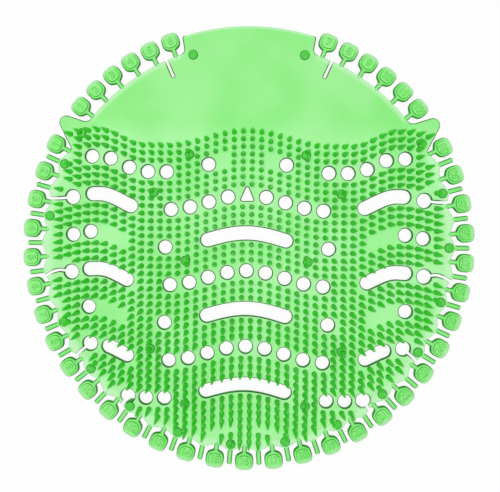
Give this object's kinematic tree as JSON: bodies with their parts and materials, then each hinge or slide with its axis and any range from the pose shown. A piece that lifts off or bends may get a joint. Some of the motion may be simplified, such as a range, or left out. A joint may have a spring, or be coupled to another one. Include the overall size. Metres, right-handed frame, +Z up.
{
  "type": "urinal deodorizer screen",
  "caption": "Flat round flexible screen with upright bristles, drain holes and slots, feet below, and numbered tabs round its rim that are pulled to mark the change date.",
  "frame": {"origin": "centre of the bounding box, on the plane that the feet stand on", "axes": "+Z up through the sheet towards the bristle tips, +Y towards the smooth crown between the month tabs, +X to the right seen from above"},
  "size_m": [0.1958, 0.1928, 0.015],
  "materials": {
    "screen_mat": "translucent green soft plastic, satin"
  },
  "bodies": {
    "root": {"screen_mat": "screen_mat"}
  },
  "joints": []
}
